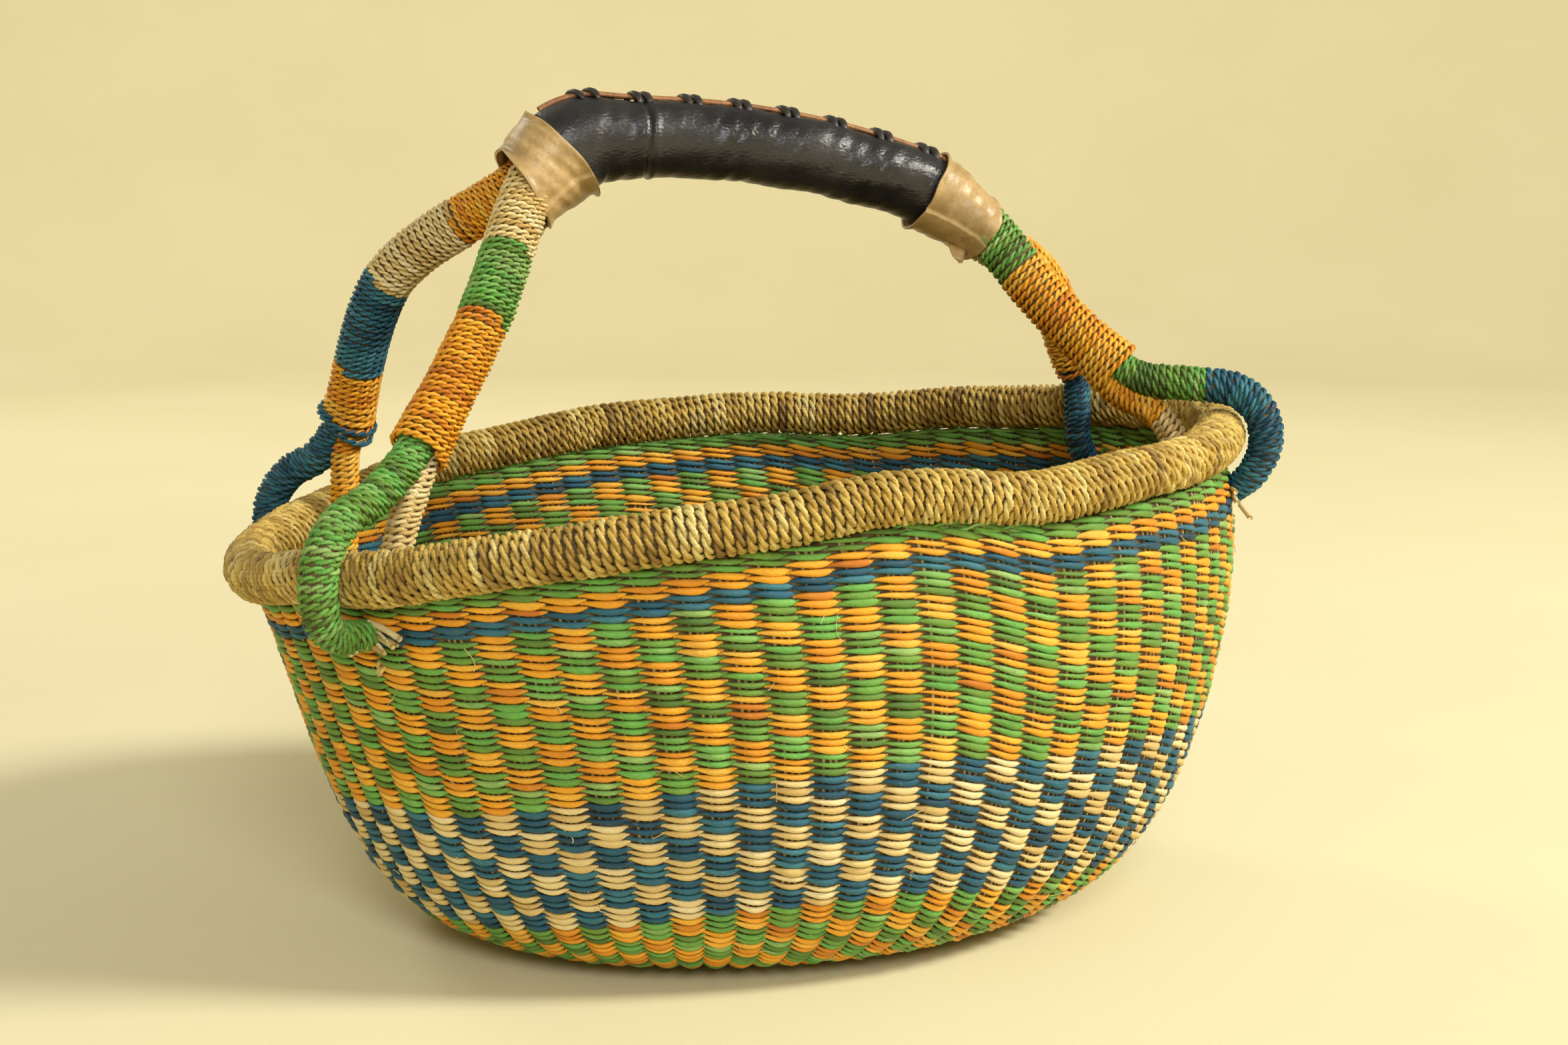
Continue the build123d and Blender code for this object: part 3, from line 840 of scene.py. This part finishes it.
# ======================== leather grip ========================
def tube_grid(name, rings, caps=False):
    """A mesh from rings of points, [ring, point, 3], with an even UV map."""
    count, around, _ = rings.shape
    r, a = np.meshgrid(np.arange(count - 1), np.arange(around), indexing="ij")
    quads = ring_quads(lambda ring, i: ring * around + i, around, r, r + 1, a)
    uv = [np.stack([(r + i) / (count - 1), (a + j) / around], -1) for i, j in UV_CORNERS]
    last = (count - 1) * around
    ends = [list(range(around)), [last + i for i in reversed(range(around))]] if caps else []
    return build_mesh(name, rings.reshape(-1, 3), quads, np.stack(uv, 2).reshape(-1, 2), ends)


def leather_material():
    """Old black leather: fine creases, worn shiny ridges and brown scuffs."""
    n = Nodes("leather")
    where = n.add("ShaderNodeTexCoord").outputs["Object"]
    broad = n.noise(where, 42.0, 4.0, 0.6)
    fine = n.noise(where, 900.0, 4.0, 0.65)
    creases = n.add("ShaderNodeTexVoronoi", Scale=330.0, feature="DISTANCE_TO_EDGE")
    n.join(n.scaled(where, (1.0, 1.6, 1.6)), creases.inputs["Vector"])
    scuffs = n.noise(n.scaled(where, (120, 420, 420)), 1.0, 5.0, 0.7)
    black = n.ramp(broad, [(0.3, (0.009, 0.009, 0.010)), (0.7, (0.024, 0.023, 0.023))])
    scuff_mask = n.ramp(scuffs, [(0.63, (0, 0, 0)), (0.76, (0.5, 0.5, 0.5))])
    n.join(n.mix(scuff_mask, black, (0.16, 0.10, 0.06)), n.shader.inputs["Base Color"])
    worn = n.add("ShaderNodeMapRange")
    n.join(broad, worn.inputs["Value"])
    worn.inputs["From Min"].default_value = 0.3
    worn.inputs["From Max"].default_value = 0.7
    worn.inputs["To Min"].default_value = 0.22
    worn.inputs["To Max"].default_value = 0.46
    n.join(worn.outputs[0], n.shader.inputs["Roughness"])
    under = n.bump(creases.outputs["Distance"], 0.35, 0.0006)
    under = n.bump(scuffs, 0.3, 0.0006, under)
    n.join(n.bump(fine, 0.25, 0.0003, under), n.shader.inputs["Normal"])
    return n.material


def hide_material(name, light, dark, rough, see_through=0.0, relief=0.5):
    """Rawhide or a tan thong: uneven amber skin with fine wrinkles."""
    n = Nodes(name)
    where = n.add("ShaderNodeTexCoord").outputs["Object"]
    patches = n.noise(where, 110.0, 4.0, 0.6)
    wrinkles = n.noise(n.scaled(where, (600, 260, 600)), 1.0, 4.0, 0.6)
    colour = n.ramp(patches, [(0.32, dark), (0.68, light)])
    # Painted shade: the colour darkens in the hollows of the wrinkles, where the bump below is lowest.
    edge = n.ramp(wrinkles, [(0.35, (0.55, 0.55, 0.55)), (0.6, (0, 0, 0))])
    n.join(n.mix(edge, colour, dark), n.shader.inputs["Base Color"])
    n.shader.inputs["Roughness"].default_value = rough
    n.shader.inputs["Subsurface Weight"].default_value = see_through
    n.shader.inputs["Subsurface Radius"].default_value = (0.004, 0.002, 0.001)
    n.join(n.bump(wrinkles, relief, 0.0007), n.shader.inputs["Normal"])
    return n.material


leather = leather_material()
lace = hide_material("lace_black", (0.035, 0.03, 0.026), (0.012, 0.010, 0.009), 0.42)
thong_tan = hide_material("thong_tan", (0.42, 0.20, 0.07), (0.20, 0.08, 0.03), 0.45)
rawhide = hide_material("rawhide", (0.55, 0.38, 0.17), (0.32, 0.21, 0.08), 0.40, 0.2, 0.25)
# Painted shade: this dark brown stands for the shadow in the gaps of the weave and between the cord wraps,
# on the sheet and on the straw bundles.
gap_shade = hide_material("gap_shade", (0.16, 0.10, 0.035), (0.06, 0.035, 0.012), 0.7)


def folds(seed, along, around, rows):
    """Smooth random relief over a tube: rows is a list of (waves along, waves around, height)."""
    turn = np.random.default_rng(seed)
    relief = np.zeros(np.broadcast(along, around).shape)
    for waves_along, waves_around, height in rows:
        for _ in range(4):
            a = waves_along * turn.uniform(0.6, 1.4)
            b = round(waves_around * turn.uniform(0.5, 1.5))
            relief = relief + height / 2 * np.sin(TAU * a * along + b * around + turn.uniform(0, TAU))
    return relief


def leather_radius(share):
    """The grip is thicker at its left end."""
    return LEATHER_RADIUS * (1.0 - 0.075 * share + 0.20 * np.exp(-((share / 0.13) ** 2)))


def make_grip():
    """The leather tube with its thong and whip stitches along the top, and the rawhide at each elbow."""
    route, leather_start, leather_end = grip_centre()
    share = np.linspace(0, 1, 260)
    distance = leather_start - 4 * MM + share * (leather_end - leather_start + 8 * MM)
    point, heading, u, v = route.at(distance)
    around = np.arange(96) / 96 * TAU
    along, turn = share[:, None], around[None, :]
    taper = leather_radius(along)
    relief = folds(3, along, turn, [(5, 2, 0.30 * MM), (16, 5, 0.13 * MM), (3, 9, 0.12 * MM)])
    seam_at = 0.21
    seam = -0.9 * MM * np.exp(-(((along - seam_at - 0.004 * np.sin(3 * turn)) / 0.0045) ** 2))
    seam = seam + 0.55 * MM * np.exp(-(((along - seam_at - 0.016) / 0.010) ** 2))
    flat_top = -0.7 * MM * np.exp(-((np.angle(np.exp(1j * (turn - math.pi / 2))) / 0.32) ** 2))
    radius = taper + relief + seam + flat_top
    rings = (
        point[:, None]
        + u[:, None] * (np.cos(turn) * radius)[..., None]
        + v[:, None] * (np.sin(turn) * radius * 0.985)[..., None]
    )
    place(tube_grid("grip_leather", rings), leather, "leather_black", "grip_leather")
    core("grip_core", route, 0, route.length, lambda d: (GRIP_CORE_RADIUS + 0 * d,) * 2)

    top = math.pi / 2

    def on_top(d, across, above):
        """A point on the leather's top: this far across and above, at a distance along the route."""
        p, _, side, upward = route.at(d)
        r = leather_radius((d - leather_start) / (leather_end - leather_start))
        angle = top + across / r
        lift = r - 0.3 * MM + above
        return p + side * (np.cos(angle) * lift)[..., None] + upward * (np.sin(angle) * lift)[..., None]

    d = np.linspace(leather_start - 2 * MM, leather_end + 2 * MM, 180)
    wander = 0.5 * MM * np.sin(d / (9 * MM)) + 0.3 * MM * np.sin(d / (4.1 * MM) + 1)
    width = 3.1 * MM + 0.35 * MM * np.sin(d / (6 * MM) + 2)
    left_half = [(-1, -0.4), (-0.96, 0.55), (-0.7, 0.95), (-0.3, 1.1)]
    outline = left_half + [(-across, above) for across, above in reversed(left_half)]
    rings = np.stack([on_top(d, wander + width * a, 1.1 * MM * b + 0 * d) for a, b in outline], 1)
    place(tube_grid("grip_thong", rings, caps=True), thong_tan, "thong_tan", "grip_thong")

    strands = []
    stitches = 8
    for number in range(stitches):
        centre = leather_start + (number + 0.5) / stitches * (leather_end - leather_start)
        for lace_side in (-1, 1):
            t = np.linspace(0, 1, 22)
            across = (t * 2 - 1) * 7.6 * MM
            slant = lace_side * 1.9 * MM + (t - 0.5) * 3.0 * MM
            arch = 2.5 * MM * np.sin(math.pi * np.clip(t * 1.04 - 0.02, 0, 1)) ** 0.6 - 0.9 * MM
            strands.append(on_top(centre + slant, across, arch))
    centre = np.stack(strands)
    heading = unit(np.gradient(centre, axis=1))
    up = unit(np.array([0, 0, 1.0]) - heading * heading[..., 2:3])
    side = np.cross(heading, up)
    full = np.sin(np.linspace(0.25, math.pi - 0.25, 22))[None, :] ** 0.5
    wide = np.repeat(full * 2.1 * MM, len(strands), 0)
    piece = strand_mesh("grip_stitches", centre, side, up, wide, wide * 0.5, 0 * wide, points=8, cell=21)
    place(piece, lace, "lace_black", "grip_stitches")
    left, right = (leather_start - 1 * MM, -4 * MM), (leather_end - 4 * MM, route.length + 1 * MM)
    make_rawhide("rawhide_band_left", route, *left, (19.8, 21.8), (19.4, 16.0), (3.5, -4.0), 11)
    make_rawhide("rawhide_band_right", route, *right, (16.0, 21.2), (15.6, 11.8), (1.0, -3.5), 12)
    return route


def make_rawhide(name, route, inner_end, outer_end, across, tall, slants, seed):
    """A rawhide strip wrapped round from the leather to the tops of two legs, its end lapped over its
    start. across and tall are its half sizes in mm at the leather and at the legs, and slants how much
    nearer to the legs its two edges are on top."""
    share = np.linspace(0, 1, 60)
    around = np.arange(150) / 150 * TAU
    s, turn = share[:, None], around[None, :]
    edge = folds(seed, 0 * s, turn, [(0, 2, 0.5 * MM), (0, 5, 0.35 * MM)])
    sign = np.sign(outer_end - inner_end)
    slant = sign * ((1 - s) * slants[0] + s * slants[1]) * MM * np.sin(turn)
    distance = inner_end + s * (outer_end - inner_end) + slant + edge * (2 * s - 1)
    inside = np.clip(distance, 0, route.length)
    point, heading, u, v = route.at(inside)
    point = point + heading * (distance - inside)[..., None]
    blend = s * s * (3 - 2 * s)
    lap = 1.3 * MM * (1 - np.mod(turn - 3.7, TAU) / TAU)
    lip = 0.9 * MM * (np.exp(-((s / 0.07) ** 2)) + np.exp(-(((1 - s) / 0.09) ** 2)))
    relief = folds(seed + 20, s, turn, [(1.5, 2, 0.45 * MM), (4, 4, 0.16 * MM)]) + lap + lip
    half_u = (across[0] + (across[1] - across[0]) * blend) * MM + relief
    half_v = (tall[0] + (tall[1] - tall[0]) * blend) * MM + relief
    round_u, round_v = u * np.cos(turn)[..., None], v * np.sin(turn)[..., None]
    outer = point + round_u * half_u[..., None] + round_v * half_v[..., None]
    inner = outer - (round_u + round_v) * 1.1 * MM
    place(tube_grid(name, np.concatenate([inner[::-1], outer, inner[-1:]], 0)), rawhide, "rawhide", name)
    make_flap(name.replace("band", "flap"), route, inner_end + 0.6 * (outer_end - inner_end), tall[1], seed)


def make_flap(name, route, where, depth, seed):
    """The crumpled end of rawhide that hangs under a band."""
    p, heading, u, v = route.at(np.array(where))
    turn = np.random.default_rng(seed)
    for number, (shift, lean, length, wide) in enumerate(((-4, -4, 11, 8), (4, 3, 8, 6), (0, -1, 7, 9))):
        s = np.linspace(0, 1, 26)[:, None]
        a = (np.arange(20) / 20 * TAU)[None, :]
        drop = (depth - 2 + length * s) * MM
        sway = (shift + lean * s + 1.6 * np.sin(4 * s + turn.uniform(0, 6))) * MM
        thick = (1.5 + 0.7 * np.sin(7 * s + turn.uniform(0, 6))) * MM * np.clip((1.02 - s) * 6, 0.15, 1)
        breadth = wide / 2 * (0.55 + 0.45 * np.sin(2.6 * s + 0.4)) * MM * np.clip((1.04 - s) * 4, 0.3, 1)
        curl = turn.uniform(-0.5, 0.5) + 1.1 * s
        side = np.cos(a) * breadth
        deep = np.sin(a) * thick + 0.8 * MM * np.sin(3 * np.cos(a) + 6 * s)
        x = shift * 0.5 * MM + side * np.cos(curl) - deep * np.sin(curl)
        y = side * np.sin(curl) + deep * np.cos(curl) + sway
        rings = p + np.array([1.0, 0, 0]) * x[..., None] + np.array([0, 1.0, 0]) * y[..., None]
        rings = rings - np.array([0, 0, 1.0]) * (drop + 0 * a)[..., None]
        place(tube_grid(f"{name}_{number + 1}", rings, caps=True), rawhide, "rawhide")


# ======================== loose straws ========================
def make_stubs(feet):
    """Natural straw ends that stick out from under the rim beside each outer branch."""
    strands, sizes = [], []
    up = np.array([0, 0, 1.0])
    for start, tangent, out in feet:
        for _ in range(9):
            way = rng.choice([-1, 1])
            length = rng.uniform(9, 19) * MM
            t = np.linspace(0, 1, 14)[:, None]
            aim = unit(tangent * way + out * rng.uniform(0.05, 0.45) - up * rng.uniform(-0.1, 0.5))
            bend = -up * rng.uniform(-1, 3) * MM
            root = start + out * rng.uniform(0, 4) * MM + up * rng.uniform(-3, 5) * MM
            strands.append(root + aim * t * length + bend * t**2)
            sizes.append(rng.uniform(0.5, 1.25) * MM)
    piece = straws("straw_stubs", np.stack(strands), np.array(sizes), 8)
    place(piece, straw_stake, "straw_natural", "straw_stubs")


def straws(name, centre, sizes, points):
    """Loose round straws along given lines, each with its own half thickness."""
    heading = unit(np.gradient(centre, axis=1))
    side = unit(np.cross(heading, np.array([0.3, 0.2, 1.0])))
    half = np.repeat(sizes[:, None], centre.shape[1], 1)
    tint = np.repeat(rng.random(len(centre))[:, None], centre.shape[1], 1)
    across = np.cross(heading, side)
    return strand_mesh(name, centre, side, across, half, half, tint, points=points, cell=13)


def make_fibres():
    """Fine loose fibres and cut ends over the weave."""
    count = 150
    around = rng.random(count)
    height = rng.uniform(0.18, 0.97, count)
    point, normal, up = wall.at(around, height)
    side = np.cross(up, normal)
    strands = []
    for i in range(count):
        t = np.linspace(0, 1, 12)[:, None]
        length = rng.uniform(3, 11) * MM
        aim = side[i] * rng.normal(0, 1) + up[i] * rng.normal(0, 0.7)
        curl = unit(side[i] * rng.normal(0, 1) + up[i] * rng.normal(0, 1)) * rng.uniform(0, 3) * MM
        lift = 1.6 * MM + t * rng.uniform(0.2, 1.7) * MM
        strands.append(point[i] + normal[i] * lift + unit(aim) * t * length + curl * np.sin(math.pi * t))
    piece = straws("loose_fibres", np.stack(strands), rng.uniform(0.09, 0.2, count) * MM, 4)
    place(piece, straw_stake, "straw_natural")


# ======================== build ========================
make_rim()
make_weave()
make_stakes()
make_gap_shade()
handle = make_grip()
make_stubs(make_legs(handle))
make_fibres()


# ======================== studio ========================
def make_camera():
    camera = bpy.data.objects.new("camera", bpy.data.cameras.new("camera"))
    bpy.context.collection.objects.link(camera)
    camera.location = (-0.2188, -0.8419, 0.290)
    camera.rotation_euler = (math.radians(81.26), 0, math.radians(-15.6))
    camera.data.lens = 50
    camera.data.sensor_width = 36
    bpy.context.scene.camera = camera


def make_floor():
    """A plain pale floor that curves up into a round wall."""
    turn = np.linspace(0, math.pi / 2, 24)
    across = np.concatenate([[0.01, 0.5, 1.0, 1.6, 2.2], 2.6 + 1.4 * np.sin(turn), [4.0]])
    height = np.concatenate([np.zeros(5), 1.4 * (1 - np.cos(turn)), [2.4]])
    around = np.arange(128) / 128 * TAU
    across, height = across[:, None], height[:, None]
    rings = np.stack([across * np.cos(around), across * np.sin(around), height + 0 * around], -1)
    floor = tube_grid("floor", rings)
    n = Nodes("floor")
    where = n.add("ShaderNodeTexCoord").outputs["Object"]
    n.join(n.ramp(n.noise(where, 3.0, 3.0), [(0.3, (0.74, 0.68, 0.44)), (0.7, (0.77, 0.71, 0.47))]),
           n.shader.inputs["Base Color"])
    n.shader.inputs["Roughness"].default_value = 0.8
    floor.data.materials.append(n.material)


def area_light(name, place_at, aim_at, size, power, colour):
    data = bpy.data.lights.new(name, "AREA")
    data.shape, data.size, data.energy, data.color = "DISK", size, power, colour
    light = bpy.data.objects.new(name, data)
    bpy.context.collection.objects.link(light)
    light.location = place_at
    light.rotation_euler = (Vector(aim_at) - Vector(place_at)).to_track_quat("-Z", "Y").to_euler()


def make_studio():
    make_camera()
    make_floor()
    area_light("key", (2.20, -1.32, 1.95), (0, 0, 0.12), 0.6, 104, (1.0, 0.95, 0.84))
    area_light("fill", (-0.3, -2.5, 1.7), (0, 0, 0.15), 1.1, 40, (0.96, 0.97, 1.0))
    area_light("back", (-1.3, 2.2, 1.9), (0, 0, 0.15), 1.0, 16, (1.0, 0.97, 0.90))
    area_light("wall_light", (0.2, 1.2, 2.2), (0.4, 4.0, 0.7), 1.2, 24, (1.0, 0.94, 0.78))
    world = bpy.data.worlds.new("studio")
    world.use_nodes = True
    world.node_tree.nodes["Background"].inputs["Color"].default_value = (1.0, 0.92, 0.74, 1)
    world.node_tree.nodes["Background"].inputs["Strength"].default_value = 0.30
    bpy.context.scene.world = world
    bpy.context.scene.view_settings.view_transform = "Standard"


make_studio()
